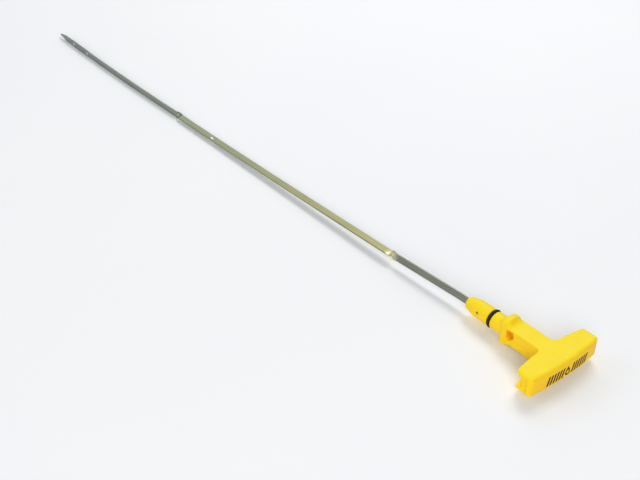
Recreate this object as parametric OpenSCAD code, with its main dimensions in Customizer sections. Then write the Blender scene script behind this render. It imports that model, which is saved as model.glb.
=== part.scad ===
// Engine oil dipstick: a moulded pull handle with a sealing plug, on a long twisted strip of flat steel.
// Lengths are in millimetres. The dipstick lies on a surface at z = 0, with its long axis along X.
// The handle's own sub-parts are drawn with x running from the nose of the plug towards the pull bar, and z = 0 on
// the plug's axis. The strip is drawn as it lies, with x = 0 at the nose and z = 0 on the surface.

/* [Pull bar] */
// Length of the bar from end to end, across the handle
bar_length = 52; // [40:0.1:70]
// Height of the bar
bar_height = 11.8; // [9.5:0.1:14]
// Height of the handle's flat top over the plug's axis
top_rise = 5.6; // [4.8:0.1:6.2]
// Depth of the bar in its middle, from its back to its outer face
bar_depth = 14.1; // [12:0.1:20]
// How far the outer face bulges from its ends to its middle
bar_front_bulge = 1.8; // [1:0.1:4]
// How far the back bulges from its ends to its middle
bar_back_bulge = 2.7; // [1:0.1:4]
// Radius of the bar's upright corners at the back
bar_back_corner = 2.8; // [1:0.1:3.5]
// Radius of the bar's upright corners at the outer face
bar_front_corner = 3; // [0.5:0.1:4]
// Radius along the top and bottom edges of the outer face and the ends
bar_edge = 1.7; // [0.5:0.1:2.2]
// Depth of the groove along the back of the bar
bar_groove = 2.4; // [1:0.1:3.5]
// Depth of the same groove where it runs round the ends of the bar
end_groove = 0.9; // [0.5:0.1:2]
// Thickness of the bar's plates above and below the groove
bar_plate = 2.4; // [1.8:0.1:3.2]
// Radius on the upright corners of the bar's core, inside the groove
core_corner = 2; // [0.5:0.1:3]
// Wall left between the groove and the outer face
bar_front_wall = 2.8; // [2:0.1:4]

/* [Stem] */
// Length of the stem from the collar to the bar
stem_length = 22.5; // [15:0.1:40]
// Width of the stem, and of the collar across its flats
stem_width = 11; // [9:0.1:13]
// Height of the stem
stem_height = 10.4; // [8.5:0.1:11.5]
// Thickness of the stem above its pockets
pocket_roof = 1.4; // [1:0.1:2.5]
// Thickness of the stem below its pockets
pocket_floor = 2.5; // [1.5:0.1:3.5]
// Length of the round deep end of each pocket, next to the collar
well_length = 4.5; // [3.8:0.1:6]
// Thickness of the web between the deep ends of the pockets
well_web = 3.4; // [2:0.1:6]
// Depth of the rest of the pocket next to the collar, from where it runs out towards the bar
shallow_depth = 1; // [0.5:0.1:2]
// Radius between the stem and the back of the bar
root_fillet = 3; // [1:0.1:5]

/* [Plug] */
// Diameter of the plug that enters the tube
plug_d = 10.3; // [9.7:0.1:14]
// Length of the plug from its nose to the collar
plug_length = 28.4; // [27:0.1:45]
// Length of the tapered nose
nose_length = 7.5; // [5:0.1:9.5]
// Diameter at the small end of the nose
nose_d = 7.9; // [7.2:0.1:9.4]
// Radius round the front of the nose
nose_round = 2.2; // [0.5:0.1:2.4]
// Diameter of the collar that seats on the tube
collar_d = 17.4; // [15:0.1:24]
// Thickness of the collar
collar_t = 3.9; // [2.5:0.1:6]
// Radius on the rim of the collar
collar_edge = 0.9; // [0.2:0.1:1.2]
// Radius of the fillets between the collar and the top and underside of the stem
collar_fillet = 3.4; // [1:0.1:4.5]

/* [Sealing ring] */
// Thickness of the rubber ring
ring_cord = 2; // [1.7:0.1:2.4]
// Distance from the nose to the middle of the ring
ring_x = 18.9; // [18.2:0.1:21]
// Depth of the ring's groove
ring_groove_depth = 1.6; // [1:0.1:1.7]
// Room beside the ring in its groove, both sides together
ring_side_room = 0.4; // [0.1:0.05:0.6]

/* [Blade] */
// Reach of the strip from the nose of the plug to its tip
blade_reach = 508; // [440:1:620]
// Width of the steel strip
blade_width = 5; // [4.4:0.1:5.4]
// Thickness of the steel strip
blade_t = 1; // [0.6:0.05:1.2]
// Length of the straight tang inside the plug
tang_length = 15.5; // [13.5:0.1:16]
// Distance from the nose to the middle of the first twist
first_twist = 59.5; // [45:0.5:90]
// Distance from the nose to the middle of the second twist
second_twist = 300; // [275:1:340]
// Length of strip that each quarter turn takes
twist_length = 9; // [7:0.5:20]
// Sideways angle at which the strip leaves the handle, in degrees
side_set = 3.3; // [0:0.1:4]
// Length over which the strip takes up that angle
side_set_length = 10; // [6:0.5:20]
// Sideways angle of the flat stretch, in degrees
flat_set = 1.85; // [0:0.05:4]
// Sideways angle at which the last stretch begins, in degrees
last_set = 2.65; // [0:0.05:4]
// Radius of the slight bow in the last stretch, which stands on edge
tip_bow_radius = 4000; // [3000:100:20000]

/* [Level marks] */
// Distance from the nose to the dimple in the flat stretch
rattle_dimple = 252.5; // [150:0.5:262]
// Diameter of the dimple in the flat stretch
rattle_dimple_d = 4.2; // [3:0.1:4.6]
// Depth of the dimple in the flat stretch
rattle_dimple_depth = 1; // [0.3:0.1:1.4]
// Distance from the tip to the lower level mark
low_mark = 29; // [24:0.5:35]
// Distance between the two level marks
mark_gap = 26.4; // [15:0.1:40]
// Diameter of each level mark
mark_d = 3.4; // [2.5:0.1:4]
// Depth to which each level mark is pressed
mark_depth = 0.7; // [0.3:0.1:1]
// Width of the strip between the level marks
gauge_width = 5.8; // [5.4:0.1:7]
// Length over which the strip widens before the upper mark and narrows after the lower one
gauge_shoulder = 5; // [2.5:0.5:8]
// Length over which the tip narrows
tip_length = 12; // [5:0.5:14]
// Share of its width that the strip keeps at the end of the tip
tip_share = 0.2; // [0.15:0.05:0.6]

/* [Retaining pin] */
// Diameter of the pin through the plug and the tang
pin_d = 1.6; // [1:0.1:2]
// Distance from the nose to the pin
pin_x = 10.7; // [9:0.1:11]
// Height of the pin over the plug's axis
pin_rise = 1.1; // [0:0.1:1.2]
// How far each end of the pin sits below the plug's surface
pin_recess = 0.7; // [0.3:0.1:1.2]

/* [Clearances] */
// Gap all round between the tang and its slot
slot_gap = 0.05; // [0.02:0.01:0.2]
// Gap between the pin and its hole in the plug
pin_gap = 0.03; // [0.01:0.01:0.1]
// Gap between the pin and its hole in the tang
tang_hole_gap = 0.05; // [0.02:0.01:0.2]
// Gap between the ring and the floor of its groove
ring_gap = 0.02; // [0.01:0.01:0.1]

/* [Hidden] */

$fn = 96;
ARC_FN = 360;
PIN_FN = 48;
OVER = 1;

// Places along the handle
collar_x = plug_length;
collar_back = collar_x + collar_t;
bar_back = collar_back + stem_length;
bar_front = bar_back + bar_depth;

// Circles that bound the bar in plan, each through the two ends and the middle of its face
bar_half = bar_length / 2;
front_r = (bar_half * bar_half + bar_front_bulge * bar_front_bulge) / (2 * bar_front_bulge);
back_r = (bar_half * bar_half + bar_back_bulge * bar_back_bulge) / (2 * bar_back_bulge);
front_cx = bar_front - front_r;
back_cx = bar_back + back_r;
bar_mid_z = top_rise - bar_height / 2;
groove_height = bar_height - 2 * bar_plate;
stem_low_z = top_rise - stem_height;
pocket_height = stem_height - pocket_roof - pocket_floor;

// The collar's rim and the strip's last stretch rest on the surface. Between them only the flat stretch can bend,
// so it acts as a beam held level at its far end, and the handle follows its slope at the near end. That slope is
// END_SLOPE times the lift of the near end over the beam's length.
END_SLOPE = 1.5;
collar_mid = collar_x + collar_t / 2;
edge_stretch_z = gauge_width / 2;
flat_from = first_twist + twist_length / 2;
flat_to = second_twist - twist_length / 2;
rise = collar_d / 2 - edge_stretch_z;
beam_length = flat_to - flat_from;
beam_lift = rise / (1 + END_SLOPE * (collar_mid + flat_from) / beam_length);
rest_tilt = atan(END_SLOPE * beam_lift / beam_length);

// Height of the collar's middle when its rounded rim touches the surface
pivot_z = (collar_d / 2 - collar_edge) * cos(rest_tilt) + (collar_t / 2 - collar_edge) * sin(rest_tilt)
    + collar_edge;

// The frame's origin is under the middle of the whole length
front_reach = collar_mid + (bar_front - bar_edge - collar_mid) * cos(rest_tilt)
    + (bar_height - top_rise - bar_edge) * sin(rest_tilt) + bar_edge;
tip_reach = (flat_from + collar_mid) * cos(rest_tilt) - collar_mid + blade_reach - flat_from;
shift_x = (tip_reach - front_reach) / 2;

// Places along the strip, as distances from the nose
first_from = first_twist - twist_length / 2;
second_to = second_twist + twist_length / 2;
rattle_from = rattle_dimple - rattle_dimple_d / 2;
rattle_to = rattle_dimple + rattle_dimple_d / 2;
mark_low_s = blade_reach - low_mark;
mark_high_s = mark_low_s - mark_gap;
tip_s = blade_reach - tip_length;

// Points across the strip's width in each ring of the swept body
ACROSS = 7;

// Largest distance between rings in each kind of stretch
BEND_STEP = 2.5;
TWIST_STEP = 0.95;
FLAT_STEP = 10;
BOW_STEP = 18;
DIMPLE_STEP = 0.5;
SHOULDER_STEP = 1.5;
TIP_STEP = 3;

// A smooth step from 0 to 1, and the area under it
function smooth(u) = u <= 0 ? 0 : u >= 1 ? 1 : u * u * (3 - 2 * u);
function smooth_area(u) = u <= 0 ? 0 : u >= 1 ? u - 0.5 : pow(u, 3) - pow(u, 4) / 2;

// Sideways course: a short bend at the nose, then straight stretches whose angle changes in each twist, then a
// slight bow where the last stretch stands on edge
function bend_y(s) =
    s <= 0 ? 0 :
    s < side_set_length ? tan(side_set) * s * s / (2 * side_set_length) :
    tan(side_set) * (s - side_set_length / 2);
function twist_y(s, from, before, after) =
    (tan(before) - tan(after)) * twist_length * smooth_area((s - from) / twist_length);
function bow_y(s) = s <= second_to ? 0 : pow(s - second_to, 2) / (2 * tip_bow_radius);
function course_y(s) =
    twist_y(s, first_from, side_set, flat_set) + twist_y(s, flat_to, flat_set, last_set) + bow_y(s) - bend_y(s);

// Height of the strip's middle: straight on from the handle, then the bent beam, then level
function on_axis_z(s) = pivot_z - (s + collar_mid) * sin(rest_tilt);
function beam_shape(u) = (3 * u * u - u * u * u) / 2;
function course_z(s) =
    s <= flat_from ? on_axis_z(s) :
    s >= flat_to ? edge_stretch_z :
    edge_stretch_z + (on_axis_z(flat_from) - edge_stretch_z) * beam_shape((flat_to - s) / beam_length);
function course_x(s) = collar_mid - (min(s, flat_from) + collar_mid) * cos(rest_tilt) - max(s - flat_from, 0);

// Turn of the strip about its own length, in degrees: 0 on edge and 90 flat
function course_turn(s) =
    90 * (smooth((s - first_from) / twist_length) - smooth((s - flat_to) / twist_length));

// Half of the strip's width
function gauge_share(s) =
    smooth((s - mark_high_s + gauge_shoulder) / gauge_shoulder)
    - smooth((s - mark_low_s) / gauge_shoulder);
function tip_narrowing(s) = s <= tip_s ? 1 : 1 - (1 - tip_share) * (s - tip_s) / tip_length;
function half_width(s) = (blade_width + (gauge_width - blade_width) * gauge_share(s)) / 2 * tip_narrowing(s);

// Depth of a pressed dimple at a distance r from its middle. All are pressed into the same face of the strip.
function dimple(r, d, depth) = r >= d / 2 ? 0 : depth * pow(1 - pow(2 * r / d, 2), 2);
function pressed(s, v) =
    dimple(norm([s - rattle_dimple, v]), rattle_dimple_d, rattle_dimple_depth)
    + dimple(norm([s - mark_high_s, v]), mark_d, mark_depth)
    + dimple(norm([s - mark_low_s, v]), mark_d, mark_depth);

function steps(from, to, spacing) =
    let (count = max(1, ceil((to - from) / spacing)))
    [for (i = [0 : count - 1]) from + (to - from) * i / count];

// Where the rings of the strip stand: close together in twists and dimples, far apart in plain stretches
ring_places = concat(
    [-tang_length],
    steps(0, side_set_length, BEND_STEP),
    steps(side_set_length, first_from, FLAT_STEP),
    steps(first_from, flat_from, TWIST_STEP),
    steps(flat_from, rattle_from, FLAT_STEP),
    steps(rattle_from, rattle_to, DIMPLE_STEP),
    steps(rattle_to, flat_to, FLAT_STEP),
    steps(flat_to, second_to, TWIST_STEP),
    steps(second_to, mark_high_s - gauge_shoulder, BOW_STEP),
    steps(mark_high_s - gauge_shoulder, mark_high_s - mark_d / 2, SHOULDER_STEP),
    steps(mark_high_s - mark_d / 2, mark_high_s + mark_d / 2, DIMPLE_STEP),
    steps(mark_high_s + mark_d / 2, mark_low_s - mark_d / 2, FLAT_STEP),
    steps(mark_low_s - mark_d / 2, mark_low_s + mark_d / 2, DIMPLE_STEP),
    steps(mark_low_s + mark_d / 2, mark_low_s + gauge_shoulder, SHOULDER_STEP),
    steps(mark_low_s + gauge_shoulder, tip_s, FLAT_STEP),
    steps(tip_s, blade_reach, TIP_STEP),
    [blade_reach]
);

// Unit vectors of the strip at s: along it towards the tip, across its width, and out of its face
STEP_S = 0.5;
function unit(v) = v / norm(v);
function centre(s) = [course_x(s), course_y(s), course_z(s)];
function along(s) = unit(centre(s + STEP_S) - centre(s - STEP_S));
function level_across(s) = unit(cross([0, 0, 1], along(s)));
function upright(s) = cross(along(s), level_across(s));
function across(s) = upright(s) * cos(course_turn(s)) - level_across(s) * sin(course_turn(s));
function face_out(s) = cross(along(s), across(s));

// One ring: over the outer face one way, then back over the inner face
function ring_point(s, v, side) = centre(s) + across(s) * v + face_out(s) * (pressed(s, v) + side * blade_t / 2);
function ring(s) = concat(
    [for (i = [0 : ACROSS - 1]) ring_point(s, half_width(s) * (2 * i / (ACROSS - 1) - 1), 1)],
    [for (i = [0 : ACROSS - 1]) ring_point(s, half_width(s) * (1 - 2 * i / (ACROSS - 1)), -1)]
);

module strip_body() {
    sides = 2 * ACROSS;
    count = len(ring_places);
    points = [for (s = ring_places) each ring(s)];
    walls = [for (r = [0 : count - 2], i = [0 : sides - 1])
        let (a = r * sides + i, b = r * sides + (i + 1) % sides, c = b + sides, d = a + sides)
        each [[a, b, c], [a, c, d]]];
    last = (count - 1) * sides;
    caps = [for (i = [0 : ACROSS - 2])
        let (a = i, b = i + 1, c = sides - 2 - i, d = sides - 1 - i)
        each [[b, a, d], [b, d, c], [last + a, last + b, last + c], [last + a, last + c, last + d]]];
    polyhedron(points = points, faces = concat(walls, caps), convexity = 10);
}

// Turns a profile drawn as [radius, distance from the nose] about the plug's axis
module turned() {
    rotate([0, 90, 0]) rotate_extrude() children();
}

module nose_and_plug_profile() {
    polygon([
        [0, 0],
        [nose_d / 2 - nose_round, 0],
        [nose_d / 2, nose_round],
        [plug_d / 2, nose_length],
        [plug_d / 2, collar_x + OVER],
        [0, collar_x + OVER]
    ]);
    intersection() {
        translate([nose_d / 2 - nose_round, nose_round]) circle(nose_round);
        square([nose_d / 2, nose_round]);
    }
}

module collar_profile() {
    flat_r = collar_d / 2 - collar_edge;
    translate([0, collar_x]) square([flat_r, collar_t]);
    translate([0, collar_x + collar_edge]) square([collar_d / 2, collar_t - 2 * collar_edge]);
    translate([flat_r, collar_x + collar_edge]) circle(collar_edge);
    translate([flat_r, collar_back - collar_edge]) circle(collar_edge);
}

// Side view of the stem where it widens up and down to meet the collar, as far as the collar's flat back reaches
module collar_fillets() {
    far = collar_back + collar_fillet;
    intersection() {
        rotate([90, 0, 0]) linear_extrude(stem_width, center = true) difference() {
            translate([collar_back - OVER, stem_low_z - collar_fillet])
                square([collar_fillet + OVER, stem_height + 2 * collar_fillet]);
            for (z = [top_rise + collar_fillet, stem_low_z - collar_fillet]) translate([far, z])
                circle(collar_fillet);
        }
        rotate([0, 90, 0]) cylinder(r = collar_d / 2 - collar_edge, h = far);
    }
}

module ring_groove_profile() {
    width = ring_cord + ring_side_room;
    floor_r = plug_d / 2 - ring_groove_depth;
    translate([floor_r, ring_x - width / 2]) square([ring_groove_depth + OVER, width]);
}

// Cuts an upright corner to a radius: c is the fillet's centre, a and b point from it square to the two faces
module corner_waste(c, a, b, r) {
    translate(c) difference() {
        polygon([[0, 0], a * (r + OVER), (a + b) * (r + OVER), b * (r + OVER)]);
        circle(r);
    }
}

// Centre of a fillet that lies inside the bar's end and inside one of the two big circles
function corner_centre(cx, big_r, towards, half, r) =
    [cx + towards * sqrt(pow(big_r - r, 2) - pow(half - r, 2)), half - r];

// Plan of the bar, or of its core when the back and the ends are set in
module bar_plan(back_inset, end_inset, rear_corner) {
    half = bar_half - end_inset;
    rear_r = back_r - back_inset;
    front_c = corner_centre(front_cx, front_r, 1, half, bar_front_corner);
    rear_c = corner_centre(back_cx, rear_r, -1, half, rear_corner);
    difference() {
        intersection() {
            translate([front_cx, 0]) circle(front_r, $fn = ARC_FN);
            translate([back_cx, 0]) circle(rear_r, $fn = ARC_FN);
            translate([bar_back - OVER, -half]) square([bar_depth + 2 * OVER, 2 * half]);
        }
        for (m = [0, 1]) mirror([0, m]) {
            corner_waste(front_c, [0, 1], unit(front_c - [front_cx, 0]), bar_front_corner);
            corner_waste(rear_c, [0, 1], unit(rear_c - [back_cx, 0]), rear_corner);
        }
    }
}

// A square with all four corners rounded by true arcs
module soft_rectangle(w, h, r) {
    square([w - 2 * r, h], center = true);
    square([w, h - 2 * r], center = true);
    for (x = [-1, 1], y = [-1, 1]) translate([x * (w / 2 - r), y * (h / 2 - r)]) circle(r);
}

// Round block whose rim carries the curved outer face with its soft top and bottom edges
module outer_face_block() {
    translate([front_cx, 0, 0]) rotate_extrude($fn = ARC_FN) intersection() {
        soft_rectangle(2 * front_r, bar_height, bar_edge);
        translate([0, -bar_height]) square([front_r + OVER, 2 * bar_height]);
    }
}

module bar_blank() {
    intersection() {
        linear_extrude(bar_height, center = true) bar_plan(0, 0, bar_back_corner);
        outer_face_block();
        translate([bar_back - OVER, 0, 0]) rotate([90, 0, 90]) linear_extrude(bar_depth + 2 * OVER)
            soft_rectangle(bar_length, bar_height, bar_edge);
    }
}

// Groove round the back and the ends of the bar, between its two plates
module bar_groove_cut() {
    root_width = stem_width + 2 * root_fillet;
    linear_extrude(groove_height, center = true) difference() {
        intersection() {
            translate([bar_back, -bar_half - OVER]) square([bar_depth, bar_length + 2 * OVER]);
            translate([front_cx, 0]) circle(front_r - bar_front_wall, $fn = ARC_FN);
        }
        bar_plan(bar_groove, end_groove, core_corner);
        translate([bar_back - OVER, -root_width / 2]) square([bar_groove + 2 * OVER, root_width]);
    }
}

module stem_blank() {
    translate([collar_back - OVER, -stem_width / 2, stem_low_z])
        cube([stem_length + bar_groove + 2 * OVER, stem_width, stem_height]);
}

// Collar with a flat on each side, in line with the sides of the stem
module flatted_collar() {
    intersection() {
        turned() collar_profile();
        translate([0, -stem_width / 2, -collar_d]) cube([bar_back, stem_width, 2 * collar_d]);
    }
}

// Fillet in plan between one side of the stem and the back of the bar
module root_fillet_plan() {
    side = stem_width / 2;
    cy = side + root_fillet;
    cx = back_cx - sqrt(pow(back_r + root_fillet, 2) - pow(cy, 2));
    touch = [cx, cy] + unit([back_cx - cx, -cy]) * root_fillet;
    difference() {
        polygon([[cx, side - OVER], [bar_back + OVER, side - OVER], [bar_back + OVER, touch[1]], touch, [cx, cy]]);
        translate([cx, cy]) circle(root_fillet);
    }
}

// Plan of the pocket in one side of the stem, which gets shallower until the fillet to the bar begins
module stem_pocket_plan() {
    side = stem_width / 2;
    polygon([
        [collar_back, side - shallow_depth],
        [bar_back - root_fillet, side],
        [bar_back - root_fillet, side + OVER],
        [collar_back, side + OVER]
    ]);
}

// Round deep end of the same pocket, which the collar cuts off straight
module stem_well() {
    depth = (stem_width - well_web) / 2;
    radius = pocket_height / 2;
    intersection() {
        translate([collar_back + well_length - radius, well_web / 2, radius]) rotate([-90, 0, 0])
            cylinder(r = radius, h = depth + OVER);
        translate([collar_back, 0, 0]) cube([well_length, stem_width, pocket_height]);
    }
}

module stem_pocket() {
    linear_extrude(pocket_height) stem_pocket_plan();
    stem_well();
}

module tang_slot() {
    translate([-OVER, -blade_t / 2 - slot_gap, -blade_width / 2 - slot_gap])
        cube([OVER + tang_length + slot_gap, blade_t + 2 * slot_gap, blade_width + 2 * slot_gap]);
}

// Round bar across the plug at the pin's place
module cross_rod(d, length) {
    translate([pin_x, 0, pin_rise]) rotate([90, 0, 0]) cylinder(d = d, h = length, center = true, $fn = PIN_FN);
}

// Moves what is drawn over the surface to the frame's origin
module placed() {
    translate([shift_x, 0, 0]) children();
}

// Lays what is drawn on the plug's axis down on the collar's rim
module on_handle() {
    translate([collar_mid, 0, pivot_z]) rotate([0, -rest_tilt, 0]) translate([-collar_mid, 0, 0]) children();
}

module handle() {
    color("gold") placed() on_handle() difference() {
        union() {
            turned() nose_and_plug_profile();
            flatted_collar();
            collar_fillets();
            stem_blank();
            translate([0, 0, bar_mid_z]) bar_blank();
            for (m = [0, 1]) mirror([0, m, 0]) translate([0, 0, stem_low_z]) linear_extrude(stem_height)
                root_fillet_plan();
        }
        turned() ring_groove_profile();
        for (m = [0, 1]) mirror([0, m, 0]) translate([0, 0, stem_low_z + pocket_floor]) stem_pocket();
        translate([0, 0, bar_mid_z]) bar_groove_cut();
        tang_slot();
        cross_rod(pin_d, plug_d + 2 * OVER);
    }
}

module o_ring() {
    middle_r = plug_d / 2 - ring_groove_depth + ring_gap + ring_cord / 2;
    color("black") placed() on_handle() turned() translate([middle_r, ring_x]) circle(d = ring_cord);
}

module blade() {
    color("darkkhaki") placed() difference() {
        strip_body();
        on_handle() cross_rod(pin_d - 2 * pin_gap + 2 * tang_hole_gap, blade_width);
    }
}

module retaining_pin() {
    color("gray") placed() on_handle() cross_rod(pin_d - 2 * pin_gap, plug_d - 2 * pin_recess);
}

handle();
o_ring();
blade();
retaining_pin();
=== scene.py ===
"""Engine oil dipstick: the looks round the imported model. Lengths are in mm until they reach Blender."""

import math

import bmesh
import bpy
from mathutils import Matrix, Vector
from mathutils.kdtree import KDTree


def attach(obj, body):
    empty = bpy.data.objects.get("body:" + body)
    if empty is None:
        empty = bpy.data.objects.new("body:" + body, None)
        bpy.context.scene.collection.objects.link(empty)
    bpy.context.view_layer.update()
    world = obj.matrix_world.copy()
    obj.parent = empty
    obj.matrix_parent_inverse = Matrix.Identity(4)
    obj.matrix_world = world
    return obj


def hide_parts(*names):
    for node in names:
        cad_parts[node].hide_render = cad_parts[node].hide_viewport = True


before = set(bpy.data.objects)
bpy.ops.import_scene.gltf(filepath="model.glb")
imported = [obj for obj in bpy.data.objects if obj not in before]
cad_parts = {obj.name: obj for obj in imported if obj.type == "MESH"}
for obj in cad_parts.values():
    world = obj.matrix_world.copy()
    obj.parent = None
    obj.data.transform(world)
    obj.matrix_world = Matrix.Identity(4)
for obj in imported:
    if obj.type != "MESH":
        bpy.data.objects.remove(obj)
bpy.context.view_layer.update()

MM = 0.001
BODY = "root"

# Sizes of the handle, as in the part's source
PLUG_LENGTH = 28.4
PLUG_D = 10.3
COLLAR_D = 17.4
COLLAR_T = 3.9
COLLAR_EDGE = 0.9
STEM_LENGTH = 22.5
STEM_WIDTH = 11.0
BAR_LENGTH = 52.0
BAR_DEPTH = 14.1
BAR_HEIGHT = 11.8
BAR_EDGE = 1.7
BAR_BULGE = 1.8
TOP_RISE = 5.6
COLLAR_MID = PLUG_LENGTH + COLLAR_T / 2
COLLAR_BACK = PLUG_LENGTH + COLLAR_T
BAR_FRONT = COLLAR_BACK + STEM_LENGTH + BAR_DEPTH

# Sizes of the sealing ring and place of the pin, as in the part's source
RING_X = 18.9
RING_CORD = 2.0
RING_GROOVE = 1.6
RING_GAP = 0.02
PIN_X = 10.7
PIN_RISE = 1.1

# Sizes of the strip, as in the part's source. Places along it are distances from the nose.
BLADE_REACH = 508.0
BLADE_WIDTH = 5.0
BLADE_T = 1.0
TANG_LENGTH = 15.5
FIRST_TWIST = 59.5
SECOND_TWIST = 300.0
TWIST_LENGTH = 9.0
SET_LENGTH = 10.0
SIDE_SET, FLAT_SET, LAST_SET = 3.3, 1.85, 2.65
TIP_BOW_R = 4000.0
GAUGE_WIDTH = 5.8
GAUGE_SHOULDER = 5.0
TIP_LENGTH = 12.0
TIP_SHARE = 0.2
FIRST_FROM = FIRST_TWIST - TWIST_LENGTH / 2
FLAT_FROM = FIRST_TWIST + TWIST_LENGTH / 2
FLAT_TO = SECOND_TWIST - TWIST_LENGTH / 2
SECOND_TO = SECOND_TWIST + TWIST_LENGTH / 2
TIP_FROM = BLADE_REACH - TIP_LENGTH
MARK_LOW = BLADE_REACH - 29.0
MARK_HIGH = MARK_LOW - 26.4
# Each dimple: place, diameter, depth
DIMPLES = ((252.5, 4.2, 1.0), (MARK_HIGH, 3.4, 0.7), (MARK_LOW, 3.4, 0.7))
# Sideways slope of the strip at the nose, in its flat stretch and where its last stretch begins
SET_SLOPE, FLAT_SLOPE, LAST_SLOPE = (math.tan(math.radians(a)) for a in (SIDE_SET, FLAT_SET, LAST_SET))

# The lying pose, worked out as in the part's source: the flat stretch is a beam held level at its far end
EDGE_Z = GAUGE_WIDTH / 2
BEAM = FLAT_TO - FLAT_FROM
END_SLOPE = 1.5
BEAM_LIFT = (COLLAR_D / 2 - EDGE_Z) / (1 + END_SLOPE * (COLLAR_MID + FLAT_FROM) / BEAM)
TILT = math.atan(END_SLOPE * BEAM_LIFT / BEAM)
PIVOT_Z = ((COLLAR_D / 2 - COLLAR_EDGE) * math.cos(TILT)
           + (COLLAR_T / 2 - COLLAR_EDGE) * math.sin(TILT) + COLLAR_EDGE)
FRONT_REACH = (COLLAR_MID + (BAR_FRONT - BAR_EDGE - COLLAR_MID) * math.cos(TILT)
               + (BAR_HEIGHT - TOP_RISE - BAR_EDGE) * math.sin(TILT) + BAR_EDGE)
TIP_REACH = (FLAT_FROM + COLLAR_MID) * math.cos(TILT) - COLLAR_MID + BLADE_REACH - FLAT_FROM
SHIFT_X = (TIP_REACH - FRONT_REACH) / 2
HANDLE = (Matrix.Translation(Vector((SHIFT_X + COLLAR_MID, 0, PIVOT_Z)))
          @ Matrix.Rotation(-TILT, 4, "Y") @ Matrix.Translation(Vector((-COLLAR_MID, 0, 0))))

# Fineness of the moulding's mesh, and how far its edges are softened
HANDLE_VOXEL = 0.26
SOFTEN_SHARE = 0.5
SOFTEN_STEPS = 4

# The room of the stem's wells, where painted shade darkens the moulding, a little past their walls so that
# the points on the walls count
WELL_FROM, WELL_TO = COLLAR_BACK - 0.2, COLLAR_BACK + 4.6
WELL_LOW, WELL_HIGH = -2.4, 4.3
WELL_WEB_HALF = 1.4
WELL_DEPTH = 3.8

# Mesh of the strip: spacing of its rings of points, steps across its faces, its small rounded edges, its
# slightly drawn-in ends, and the drill that opens the tang for the pin
PLAIN_STEP = 2.5
TWIST_STEP = 0.45
DIMPLE_STEP = 0.2
TIP_STEP = 0.4
ACROSS = 26
EDGE_R = 0.14
LEAST_EDGE_R = 0.02
EDGE_ANGLES = tuple(math.radians(a) for a in (30, 60))
END_INSET = 0.1
END_BEVEL = 0.05
DRILL_D = 1.64
DRILL_REACH = 4.0

# Mesh of the sealing ring, and the parting line on its outside
RING_AROUND, RING_SECTION = 144, 36
PARTING_HEIGHT = 0.05
PARTING_HALF_ANGLE = math.radians(7)

# The sign on the bar's outer face: a drop between two rows of leaning strokes, in place of words. Each row
# has its name and the sideways place where it starts.
SIGN_LOW, SIGN_HIGH = -4.2, 1.6
SIGN_LEAN = math.tan(math.radians(14)) * (SIGN_HIGH - SIGN_LOW)
SIGN_PROUD = 0.05
SIGN_SUNK = 0.12
ROW_STARTS = {"a": -15.0, "b": 3.1}
STROKES = 6
STROKE_WIDTH = 1.2
STROKE_PITCH = 2.1
DROP_Y, DROP_R = 0.3, 1.9
DROP_HOLLOW = 0.5
DROP_TAPER = 0.55
DROP_POINTS = 40
FACE_R = ((BAR_LENGTH / 2) ** 2 + BAR_BULGE ** 2) / (2 * BAR_BULGE)
FACE_X = BAR_FRONT - FACE_R

# Colours of the moulding. The side and face tones are painted shade, more orange where the surface turns from
# the light.
YELLOW = (0.975, 0.76, 0.010)
YELLOW_DEEP = (0.965, 0.72, 0.009)
YELLOW_SIDE_SHADE = (0.99, 0.655, 0.008)
YELLOW_FACE_SHADE = (0.99, 0.60, 0.008)
# Painted shade in the stem's wells
YELLOW_WELL_SHADE = (0.86, 0.40, 0.012)
YELLOW_SPECKS = (0.70, 0.42, 0.02)

# Tone of the steel along the strip, by distance from the nose: plain where it stands on edge, with a painted
# highlight in the twists and a warmer, brighter painted reflection on the flat stretch
STEEL_TONES_AND_SHEEN = ((FIRST_FROM, (0.29, 0.30, 0.245)), (FIRST_FROM + 2.5, (0.70, 0.66, 0.46)),
               (FLAT_FROM - 2.5, (0.85, 0.78, 0.50)), (FLAT_FROM + 0.5, (0.36, 0.34, 0.165)),
               (FLAT_TO, (0.285, 0.32, 0.205)), (FLAT_TO + 4.5, (0.40, 0.44, 0.33)),
               (SECOND_TO, (0.33, 0.365, 0.30)), (BLADE_REACH, (0.28, 0.315, 0.295)))

# Painted highlight in each dimple, a bright steel tone
DIMPLE_GLINT = (0.74, 0.75, 0.68)

# The other colours, each pair from its darker to its lighter tone
PIN_TONES = ((0.12, 0.11, 0.10), (0.22, 0.21, 0.19))
RUBBER_TONES = ((0.012, 0.007, 0.004), (0.028, 0.018, 0.010))
INK_TONES = ((0.022, 0.009, 0.003), (0.33, 0.20, 0.015))
FLOOR_TONES = ((0.91, 0.92, 0.94), (0.93, 0.94, 0.95))

# The camera, fitted to the photograph
CAMERA_AT = (0.4634, -0.2917, 0.3157)
CAMERA_LOOK = (-0.6443, 0.4960, -0.5821)
CAMERA_LENS = 48.83
SENSOR = 36.0
CLIP = (0.01, 20.0)

# The floor's half size, the distances between which it fades into the backdrop, and the light from all round
FLOOR_HALF = 2.0
FADE_FROM, FADE_TO = 0.42, 0.95
BACKDROP = (0.90, 0.92, 0.94)
SKY_COLOR = (0.96, 0.98, 1.0)
SKY_STRENGTH = 0.34

# Each lamp: where it hangs, what it looks at, its two sides and its power in watts
LAMPS = {
    "key": ((-0.15, 0.6, 1.05), (0.05, 0.0, 0.0), (0.6, 0.5), 5.6),
    "fill": ((0.98, -0.72, 0.66), (0.15, 0.0, 0.0), (0.9, 0.7), 7.8),
    "back": ((-1.15, 0.9, 0.95), (-0.05, 0.0, 0.0), (1.6, 1.0), 6.0),
    "side": ((-0.85, -0.95, 0.7), (0.05, 0.0, 0.0), (1.3, 0.8), 4.0),
}


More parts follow.
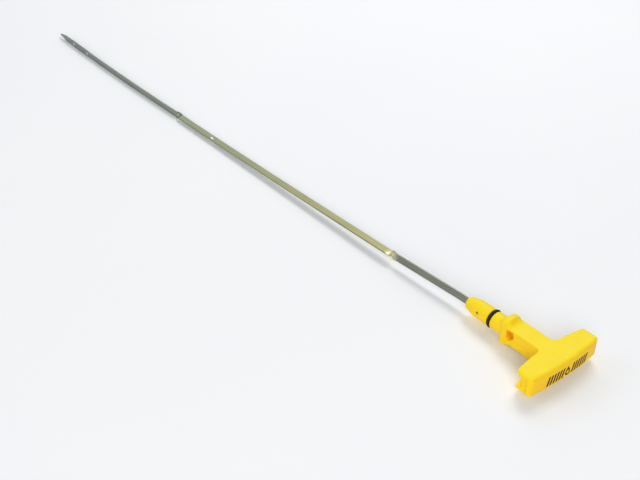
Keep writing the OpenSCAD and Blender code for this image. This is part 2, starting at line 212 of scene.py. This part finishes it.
def on_handle(x, y, z):
    """A point given from the nose along the plug's axis, in the part's frame and in metres."""
    return (HANDLE @ Vector((x, y, z))) * MM


# Making pieces
def link(obj):
    bpy.context.scene.collection.objects.link(obj)
    return obj


def new_piece(name, verts, faces, material, smooth=True):
    """Makes a mesh object from metres, gives it its material and lets it ride on the part."""
    mesh = bpy.data.meshes.new(name)
    mesh.from_pydata([tuple(v) for v in verts], [], faces)
    mesh.update()
    turn_faces_out(mesh)
    if smooth:
        shade_smooth(mesh)
    obj = link(bpy.data.objects.new(name, mesh))
    finish_piece(obj, material)
    return obj


def turn_faces_out(mesh):
    bm = bmesh.new()
    bm.from_mesh(mesh)
    bmesh.ops.recalc_face_normals(bm, faces=bm.faces)
    bm.to_mesh(mesh)
    bm.free()


def shade_smooth(mesh):
    mesh.polygons.foreach_set("use_smooth", [True] * len(mesh.polygons))


def finish_piece(obj, material):
    obj.data.materials.clear()
    obj.data.materials.append(material)
    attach(obj, BODY)


def apply_modifiers(obj):
    bpy.context.view_layer.update()
    graph = bpy.context.evaluated_depsgraph_get()
    mesh = bpy.data.meshes.new_from_object(obj.evaluated_get(graph))
    obj.modifiers.clear()
    obj.data = mesh


def skin(rows, size, joined=False):
    """Faces from each closed row of points to the next, and from the last row to the first where joined."""
    faces = []
    for row in range(rows if joined else rows - 1):
        after = (row + 1) % rows
        for i in range(size):
            j = (i + 1) % size
            faces.append((row * size + i, row * size + j, after * size + j, after * size + i))
    return faces


# Course of the strip, as in the part's source
def smooth_step(u):
    u = min(1.0, max(0.0, u))
    return u * u * (3 - 2 * u)


def step_area(u):
    """Area under the smooth step up to u."""
    w = min(1.0, max(0.0, u))
    return w ** 3 - w ** 4 / 2 + max(0.0, u - 1)


def sideways(s):
    """How far the strip has strayed sideways at a distance s from the nose."""
    if s <= 0:
        return 0.0
    bend = SET_SLOPE * (s * s / (2 * SET_LENGTH) if s < SET_LENGTH else s - SET_LENGTH / 2)
    first = (SET_SLOPE - FLAT_SLOPE) * TWIST_LENGTH * step_area((s - FIRST_FROM) / TWIST_LENGTH)
    second = (FLAT_SLOPE - LAST_SLOPE) * TWIST_LENGTH * step_area((s - FLAT_TO) / TWIST_LENGTH)
    bow = max(0.0, s - SECOND_TO) ** 2 / (2 * TIP_BOW_R)
    return first + second + bow - bend


def axis_height(s):
    """Height of the handle's axis, drawn on towards the tip."""
    return PIVOT_Z - (s + COLLAR_MID) * math.sin(TILT)


def height(s):
    """Height of the strip's middle: on the handle's axis, then the bent beam, then level."""
    if s <= FLAT_FROM:
        return axis_height(s)
    if s >= FLAT_TO:
        return EDGE_Z
    u = (FLAT_TO - s) / BEAM
    return EDGE_Z + (axis_height(FLAT_FROM) - EDGE_Z) * (3 * u * u - u ** 3) / 2


def course(s):
    """Middle of the strip at a distance s from the nose."""
    x = COLLAR_MID - (min(s, FLAT_FROM) + COLLAR_MID) * math.cos(TILT) - max(s - FLAT_FROM, 0)
    return Vector((x + SHIFT_X, sideways(s), height(s)))


def turn(s):
    """Turn of the strip about its own length: none on edge, a quarter turn where it lies flat."""
    turned = smooth_step((s - FIRST_FROM) / TWIST_LENGTH) - smooth_step((s - FLAT_TO) / TWIST_LENGTH)
    return math.pi / 2 * turned


def half_width(s):
    widening = smooth_step((s - MARK_HIGH + GAUGE_SHOULDER) / GAUGE_SHOULDER)
    narrowing = smooth_step((s - MARK_LOW) / GAUGE_SHOULDER)
    tip = 1.0 if s <= TIP_FROM else 1 - (1 - TIP_SHARE) * (s - TIP_FROM) / TIP_LENGTH
    return (BLADE_WIDTH + (GAUGE_WIDTH - BLADE_WIDTH) * (widening - narrowing)) / 2 * tip


def pressed(s, v):
    """How far the strip's middle plane is pressed out at a point."""
    out = 0.0
    for at, d, depth in DIMPLES:
        r = math.hypot(s - at, v)
        if r < d / 2:
            out += depth * (1 - (2 * r / d) ** 2) ** 2
    return out


def strip_axes(s):
    """Unit vectors across the strip's width and out of its face."""
    step = 0.5
    along = (course(s + step) - course(s - step)).normalized()
    level = Vector((0, 0, 1)).cross(along).normalized()
    upright = along.cross(level)
    a = turn(s)
    across = upright * math.cos(a) - level * math.sin(a)
    return across, along.cross(across)


def ring_places():
    """Distances from the nose at which the strip has a ring of points: dense in twists and dimples."""
    spans = [(-TANG_LENGTH, 0, PLAIN_STEP), (0, FIRST_FROM, PLAIN_STEP), (FIRST_FROM, FLAT_FROM, TWIST_STEP)]
    at = FLAT_FROM
    for middle, d, _ in DIMPLES:
        if at < FLAT_TO < middle:
            spans += [(at, FLAT_TO, PLAIN_STEP), (FLAT_TO, SECOND_TO, TWIST_STEP)]
            at = SECOND_TO
        spans += [(at, middle - d / 2, PLAIN_STEP), (middle - d / 2, middle + d / 2, DIMPLE_STEP)]
        at = middle + d / 2
    spans += [(at, TIP_FROM, PLAIN_STEP), (TIP_FROM, BLADE_REACH, TIP_STEP)]
    places = []
    for a, b, step in spans:
        n = max(1, math.ceil((b - a) / step))
        places += [a + (b - a) * i / n for i in range(n)]
    return places


def section(s, inset):
    """The strip's cross-section as points across and out of it: two flat faces with small rounded edges."""
    half = half_width(s) - inset
    thick = BLADE_T / 2 - inset
    r = max(LEAST_EDGE_R, EDGE_R - inset)
    face = [((half - r) * (2 * i / ACROSS - 1), thick) for i in range(ACROSS + 1)]
    edge = [(half - r + r * math.sin(a), thick - r + r * math.cos(a)) for a in EDGE_ANGLES]
    edge += [(half, thick - r), (half, r - thick)]
    edge += [(half - r + r * math.cos(a), r - thick - r * math.sin(a)) for a in EDGE_ANGLES]
    return face + edge + [(-v, -w) for v, w in face + edge]


def make_strip(material):
    """The gauge strip, one closed skin from the tang to the tip."""
    places = ring_places()
    plan = [(places[0], END_INSET)] + [(s, 0.0) for s in places[1:]]
    plan += [(BLADE_REACH - END_BEVEL, 0.0), (BLADE_REACH, END_INSET)]
    verts, coords = [], []
    for s, inset in plan:
        across, out = strip_axes(s)
        for v, w in section(s, inset):
            verts.append((course(s) + across * v + out * (w + pressed(s, v))) * MM)
            coords.append(Vector((s, v, w)) * MM)
    rows, size = len(plan), len(verts) // len(plan)
    caps = [tuple(range(size)), tuple((rows - 1) * size + i for i in reversed(range(size)))]
    strip = new_piece("gauge_strip", verts, skin(rows, size) + caps, material)
    drill(strip)
    label(strip.data, verts, coords)
    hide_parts("blade")


def drill(strip):
    """Cuts the pin's hole through the tang."""
    mesh = bpy.data.meshes.new("drill")
    bm = bmesh.new()
    radius = DRILL_D / 2 * MM
    bmesh.ops.create_cone(bm, cap_ends=True, segments=32, radius1=radius, radius2=radius,
                          depth=DRILL_REACH * MM)
    bm.to_mesh(mesh)
    bm.free()
    tool = link(bpy.data.objects.new("drill", mesh))
    across = Matrix.Rotation(math.pi / 2, 4, "X")
    tool.matrix_world = Matrix.Translation(on_handle(PIN_X, 0, PIN_RISE)) @ across
    cut = strip.modifiers.new("pin hole", "BOOLEAN")
    cut.operation = "DIFFERENCE"
    cut.object = tool
    cut.solver = "EXACT"
    apply_modifiers(strip)
    bpy.data.objects.remove(tool)


def label(mesh, verts, coords):
    """Gives each point of the finished strip its place along and across the strip, for the material."""
    tree = KDTree(len(verts))
    for i, place in enumerate(verts):
        tree.insert(place, i)
    tree.balance()
    layer = mesh.attributes.new("strip", "FLOAT_VECTOR", "POINT")
    layer.data.foreach_set("vector", [c for v in mesh.vertices for c in coords[tree.find(v.co)[1]]])


# The handle and its ring
def make_handle(material):
    """The moulding: the CAD solid as a fine even mesh, with its edges softened as the mould leaves them."""
    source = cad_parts["handle"]
    obj = link(bpy.data.objects.new("handle_moulding", source.data.copy()))
    remesh = obj.modifiers.new("even", "REMESH")
    remesh.mode = "VOXEL"
    remesh.voxel_size = HANDLE_VOXEL * MM
    soften = obj.modifiers.new("soft", "SMOOTH")
    soften.factor = SOFTEN_SHARE
    soften.iterations = SOFTEN_STEPS
    apply_modifiers(obj)
    shade_smooth(obj.data)
    mark_painted_shade(obj.data)
    finish_piece(obj, material)
    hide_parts("handle")


def painted_shade_depth(x, y, z):
    """How deep a point of the handle lies in one of the stem's wells, from 0 to 1: its share of painted
    shade.
    """
    inside = WELL_FROM < x < WELL_TO and WELL_LOW < z < WELL_HIGH and abs(y) > WELL_WEB_HALF
    return min(1.0, max(0.0, (STEM_WIDTH / 2 - abs(y)) / WELL_DEPTH)) if inside else 0.0


def mark_painted_shade(mesh):
    """Notes on each point how much painted shade it gets, by how deep it lies in one of the stem's wells."""
    to_handle = HANDLE.inverted()
    shares = [painted_shade_depth(*(to_handle @ (v.co / MM))) for v in mesh.vertices]
    mesh.attributes.new("painted_shade", "FLOAT", "POINT").data.foreach_set("value", shares)


def make_ring(material):
    """Rubber ring with the thin parting line that its mould leaves on the outside."""
    middle = PLUG_D / 2 - RING_GROOVE + RING_GAP + RING_CORD / 2
    verts = []
    for i in range(RING_AROUND):
        a = 2 * math.pi * i / RING_AROUND
        for j in range(RING_SECTION):
            b = 2 * math.pi * j / RING_SECTION
            from_line = min(b, 2 * math.pi - b) / PARTING_HALF_ANGLE
            r = RING_CORD / 2 - PARTING_HEIGHT * min(1.0, from_line)
            reach = middle + r * math.cos(b)
            verts.append(on_handle(RING_X + r * math.sin(b), reach * math.cos(a), reach * math.sin(a)))
    faces = skin(RING_AROUND, RING_SECTION, joined=True)
    ring = new_piece("seal_ring", verts, faces, material)
    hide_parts("o_ring")


# The sign on the bar
def face_point(y, z, out):
    """A point on the bar's curved outer face, or a little out of it."""
    r = FACE_R + out
    a = math.asin(y / FACE_R)
    return on_handle(FACE_X + r * math.cos(a), r * math.sin(a), z)


def sign_patch(name, material, outline, hollow=None):
    """A thin patch of ink that follows the face: an outline, or the band between it and its hollow."""
    loops = [outline, hollow] if hollow else [outline]
    verts = [face_point(y, z, out) for out in (SIGN_PROUD, -SIGN_SUNK) for loop in loops for y, z in loop]
    n = len(outline)
    under = n * len(loops)
    faces = []
    for i in range(n):
        j = (i + 1) % n
        faces.append((i, under + i, under + j, j))
        if hollow:
            faces += [(i, j, n + j, n + i), (n + i, n + j, under + n + j, under + n + i),
                      (under + i, under + n + i, under + n + j, under + j)]
    if not hollow:
        faces += [tuple(range(n)), tuple(under + i for i in reversed(range(n)))]
    new_piece(name, verts, faces, material, smooth=False)


def stroke_outline(y):
    left, right = y - STROKE_WIDTH / 2, y + STROKE_WIDTH / 2
    return [(left, SIGN_LOW), (right, SIGN_LOW),
            (right + SIGN_LEAN, SIGN_HIGH), (left + SIGN_LEAN, SIGN_HIGH)]


def drop_outline(size):
    """Outline of a drop, or of its hollow: a round bottom that runs up to a point."""
    z = SIGN_LOW + DROP_R
    points = []
    for i in range(DROP_POINTS):
        a = 2 * math.pi * i / DROP_POINTS - math.pi / 2
        up = max(0.0, math.sin(a))
        rise = (SIGN_HIGH - z) * up if up else DROP_R * math.sin(a)
        points.append((DROP_Y + size * DROP_R * math.cos(a) * (1 - up) ** DROP_TAPER, z + size * rise))
    return points


def make_sign(material):
    """Where the real handle has words there is a plain oil drop between two rows of leaning strokes."""
    sign_patch("sign_drop", material, drop_outline(1.0), drop_outline(DROP_HOLLOW))
    for row, start in ROW_STARTS.items():
        for i in range(STROKES):
            y = start + STROKE_WIDTH / 2 + i * STROKE_PITCH
            sign_patch("sign_bar_%s_%d" % (row, i), material, stroke_outline(y))


# Materials
class Paint:
    """A material in the making, with short ways to add the few kinds of node that are used here."""

    def __init__(self, name):
        self.material = bpy.data.materials.new(name)
        self.material.use_nodes = True
        self.nodes, self.links = self.material.node_tree.nodes, self.material.node_tree.links
        self.nodes.clear()
        self.out = self.nodes.new("ShaderNodeOutputMaterial")
        self.shader = self.nodes.new("ShaderNodeBsdfPrincipled")
        self.feed(self.out.inputs["Surface"], self.shader.outputs["BSDF"])

    def feed(self, socket, value):
        """Gives an input another node's output, a colour or a plain value."""
        if isinstance(value, bpy.types.NodeSocket):
            self.links.new(value, socket)
        elif socket.type == "RGBA":
            socket.default_value = (*value, 1)
        else:
            socket.default_value = value

    def add(self, kind, inputs, **settings):
        """Adds a node with its settings and inputs."""
        node = self.nodes.new("ShaderNode" + kind)
        for key, value in settings.items():
            setattr(node, key, value)
        for key, value in inputs.items():
            self.feed(node.inputs[key], value)
        return node

    def surface(self, inputs):
        for key, value in inputs.items():
            self.feed(self.shader.inputs[key], value)

    def place(self):
        return self.add("TexCoord", {}).outputs["Object"]

    def facing(self, axis):
        """How far the surface faces along one axis of the part."""
        return self.part_of(self.add("TexCoord", {}).outputs["Normal"], axis)

    def part_of(self, vector, axis):
        return self.add("SeparateXYZ", {0: vector}).outputs[axis]

    def attribute(self, name):
        return self.add("Attribute", {}, attribute_name=name)

    def scaled(self, coords, scale):
        return self.add("Mapping", {"Vector": coords, "Scale": scale}).outputs["Vector"]

    def noise(self, coords, scale, detail, rough=0.55):
        inputs = {"Vector": coords, "Scale": scale, "Detail": detail, "Roughness": rough}
        return self.add("TexNoise", inputs).outputs["Fac"]

    def ramp(self, value, *stops):
        """A tone that changes with a value. Each stop is a place and a colour, or one number for a grey."""
        node = self.add("ValToRGB", {"Fac": value})
        points = node.color_ramp.elements
        while len(points) > 1:
            points.remove(points[0])
        points[0].position = stops[0][0]
        for at, _ in stops[1:]:
            points.new(at)
        for point, (_, tone) in zip(points, stops):
            point.color = (*tone, 1) if isinstance(tone, tuple) else (tone, tone, tone, 1)
        return node.outputs["Color"]

    def mix(self, share, below, above, mode="MIX"):
        """Lays one colour over another. Inputs go by number, as a mix node has several of each name."""
        inputs = {0: share, 6: below, 7: above}
        return self.add("Mix", inputs, data_type="RGBA", blend_type=mode).outputs[2]

    def bump(self, relief, strength, distance, below=None):
        inputs = {"Height": relief, "Strength": strength, "Distance": distance}
        if below is not None:
            inputs["Normal"] = below
        return self.add("Bump", inputs).outputs["Normal"]


def yellow_plastic():
    """Moulded plastic, finely grained and worn, with painted shade: more orange on its sides and outer face,
    which turn from the light, and darker orange in its wells.
    """
    paint = Paint("yellow_moulding")
    coords = paint.place()
    tone = paint.ramp(paint.noise(coords, scale=60, detail=3), (0.35, YELLOW_DEEP), (0.62, YELLOW))
    # Painted shade: surfaces turned from the top go more orange, and the outer face most of all
    sides = paint.ramp(paint.facing("Z"), (0.1, 1.0), (0.9, 0.0))
    tone = paint.mix(sides, tone, YELLOW_SIDE_SHADE)
    outer = paint.ramp(paint.facing("X"), (0.6, 0.0), (0.95, 1.0))
    tone = paint.mix(outer, tone, YELLOW_FACE_SHADE)
    # Painted shade in the wells, darker orange the deeper the point lies
    painted_well_shade = paint.ramp(paint.attribute("painted_shade").outputs["Fac"], (0.25, 0.0), (0.85, 0.85))
    tone = paint.mix(painted_well_shade, tone, YELLOW_WELL_SHADE)
    specks = paint.ramp(paint.noise(coords, scale=900, detail=2), (0.72, 0.0), (0.78, 0.35))
    grain = paint.bump(paint.noise(coords, scale=2600, detail=3), strength=0.35, distance=0.00004)
    wear = paint.noise(paint.scaled(coords, (1.0, 0.08, 1.0)), scale=1500, detail=2)
    scratches = paint.ramp(wear, (0.70, 0.0), (0.76, 1.0))
    paint.surface({
        "Base Color": paint.mix(specks, tone, YELLOW_SPECKS),
        "Roughness": paint.ramp(paint.noise(coords, scale=140, detail=4), (0.3, 0.42), (0.7, 0.56)),
        "Normal": paint.bump(scratches, strength=0.25, distance=0.00003, below=grain),
        "Specular IOR Level": 0.22,
        "Subsurface Weight": 0.06,
        "Subsurface Radius": (0.002, 0.0012, 0.0003),
    })
    return paint.material


def dimple_glints(paint, coords, color):
    """Lays a painted highlight of bright steel over the colour in each dimple."""
    for at, d, _ in DIMPLES:
        offset = paint.add("VectorMath", {0: coords, 1: (at * MM, 0.0, 0.0)}, operation="DISTANCE")
        share = paint.add("Math", {0: offset.outputs["Value"], 1: d / 2 * MM}, operation="DIVIDE")
        glint = paint.ramp(share.outputs["Value"], (0.55, 1.0), (1.05, 0.0))
        color = paint.mix(glint, color, DIMPLE_GLINT)
    return color


def strip_steel():
    """Brushed spring steel whose tone follows the strip, with painted highlights in its twists and dimples,
    painted reflection on its flat stretch, and stains.
    """
    paint = Paint("strip_steel")
    coords = paint.attribute("strip").outputs["Vector"]
    brushed = paint.noise(paint.scaled(coords, (12, 5200, 2600)), scale=1.0, detail=5, rough=0.7)
    film = paint.noise(paint.scaled(coords, (45, 260, 260)), scale=1.0, detail=3)
    along = paint.part_of(paint.scaled(coords, (1 / (BLADE_REACH * MM), 1.0, 1.0)), "X")
    # Tone along the strip, with painted highlights in the twists and painted reflection on the flat stretch
    tone = paint.ramp(along, *((s / BLADE_REACH, color) for s, color in STEEL_TONES_AND_SHEEN))
    tone = paint.mix(1.0, tone, paint.ramp(film, (0.32, 0.80), (0.66, 1.0)), "MULTIPLY")
    tone = paint.mix(1.0, tone, paint.ramp(brushed, (0.40, 0.82), (0.62, 1.08)), "MULTIPLY")
    paint.surface({
        "Base Color": dimple_glints(paint, coords, tone),
        "Metallic": 1.0,
        "Roughness": paint.ramp(film, (0.3, 0.34), (0.7, 0.46)),
        "Normal": paint.bump(brushed, strength=0.35, distance=0.00003),
    })
    return paint.material


def pin_steel():
    paint = Paint("pin_steel")
    cloud = paint.noise(paint.place(), scale=2500, detail=3)
    paint.surface({
        "Base Color": paint.ramp(cloud, (0.35, PIN_TONES[0]), (0.65, PIN_TONES[1])),
        "Metallic": 1.0,
        "Roughness": paint.ramp(cloud, (0.3, 0.38), (0.7, 0.55)),
        "Normal": paint.bump(cloud, strength=0.3, distance=0.00002),
    })
    return paint.material


def ring_rubber():
    paint = Paint("ring_rubber")
    coords = paint.place()
    cloud = paint.noise(coords, scale=500, detail=4)
    grain = paint.noise(coords, scale=5000, detail=2)
    paint.surface({
        "Base Color": paint.ramp(cloud, (0.3, RUBBER_TONES[0]), (0.7, RUBBER_TONES[1])),
        "Roughness": paint.ramp(cloud, (0.3, 0.5), (0.7, 0.66)),
        "Normal": paint.bump(grain, strength=0.25, distance=0.00003),
        "Specular IOR Level": 0.25,
    })
    return paint.material


def sign_ink():
    """Dark ink, worn through to the yellow in small spots."""
    paint = Paint("sign_ink")
    worn = paint.ramp(paint.noise(paint.place(), scale=1300, detail=4, rough=0.65), (0.58, 0.0), (0.72, 0.55))
    paint.surface({
        "Base Color": paint.mix(worn, *INK_TONES),
        "Roughness": paint.ramp(worn, (0.0, 0.42), (0.6, 0.55)),
        "Normal": paint.bump(worn, strength=0.3, distance=0.00002),
        "Specular IOR Level": 0.15,
    })
    return paint.material


def floor_paint():
    """Pale paint that lets the backdrop show through more and more towards the floor's rim."""
    paint = Paint("pale_floor")
    coords = paint.place()
    cloud = paint.noise(coords, scale=3, detail=3)
    paint.surface({
        "Base Color": paint.ramp(cloud, (0.3, FLOOR_TONES[0]), (0.7, FLOOR_TONES[1])),
        "Roughness": 0.9,
        "Specular IOR Level": 0.1,
    })
    reach = paint.add("VectorMath", {0: paint.scaled(coords, (1 / FLOOR_HALF,) * 3)}, operation="LENGTH")
    fade = paint.ramp(reach.outputs["Value"], (FADE_FROM / FLOOR_HALF, 0.0), (FADE_TO / FLOOR_HALF, 1.0))
    clear = paint.add("BsdfTransparent", {})
    both = paint.add("MixShader", {0: fade, 1: paint.shader.outputs["BSDF"], 2: clear.outputs["BSDF"]})
    paint.feed(paint.out.inputs["Surface"], both.outputs["Shader"])
    return paint.material


def paint_pin():
    """The pin keeps its own solid and takes a material."""
    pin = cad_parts["retaining_pin"]
    pin.data.materials.clear()
    pin.data.materials.append(pin_steel())


# The studio
def add_camera():
    data = bpy.data.cameras.new("camera")
    data.sensor_width = SENSOR
    data.lens = CAMERA_LENS
    data.clip_start, data.clip_end = CLIP
    camera = link(bpy.data.objects.new("camera", data))
    camera.location = CAMERA_AT
    camera.rotation_mode = "QUATERNION"
    camera.rotation_quaternion = Vector(CAMERA_LOOK).to_track_quat("-Z", "Y")
    bpy.context.scene.camera = camera


def add_floor():
    half = FLOOR_HALF
    corners = [(-half, -half, 0), (half, -half, 0), (half, half, 0), (-half, half, 0)]
    mesh = bpy.data.meshes.new("floor")
    mesh.from_pydata(corners, [], [(0, 1, 2, 3)])
    mesh.materials.append(floor_paint())
    floor = link(bpy.data.objects.new("floor", mesh))


def add_world():
    """Soft light from all round. The camera sees the backdrop's tone in its place."""
    world = bpy.data.worlds.new("studio")
    bpy.context.scene.world = world
    world.use_nodes = True
    nodes, links = world.node_tree.nodes, world.node_tree.links
    sky = nodes["Background"]
    sky.inputs["Color"].default_value = (*SKY_COLOR, 1)
    sky.inputs["Strength"].default_value = SKY_STRENGTH
    backdrop = nodes.new("ShaderNodeBackground")
    backdrop.inputs["Color"].default_value = (*BACKDROP, 1)
    mix = nodes.new("ShaderNodeMixShader")
    links.new(nodes.new("ShaderNodeLightPath").outputs["Is Camera Ray"], mix.inputs[0])
    links.new(sky.outputs["Background"], mix.inputs[1])
    links.new(backdrop.outputs["Background"], mix.inputs[2])
    links.new(mix.outputs["Shader"], nodes["World Output"].inputs["Surface"])


def add_lamps():
    for name, (at, look_at, sides, power) in LAMPS.items():
        data = bpy.data.lights.new(name, "AREA")
        data.shape = "RECTANGLE"
        data.size, data.size_y = sides
        data.energy = power
        lamp = link(bpy.data.objects.new(name, data))
        lamp.location = at
        lamp.rotation_mode = "QUATERNION"
        lamp.rotation_quaternion = (Vector(look_at) - Vector(at)).to_track_quat("-Z", "Y")


def build():
    add_camera()
    make_handle(yellow_plastic())
    make_strip(strip_steel())
    make_ring(ring_rubber())
    make_sign(sign_ink())
    paint_pin()
    add_floor()
    add_world()
    add_lamps()
    bpy.context.scene.view_settings.view_transform = "Standard"


build()
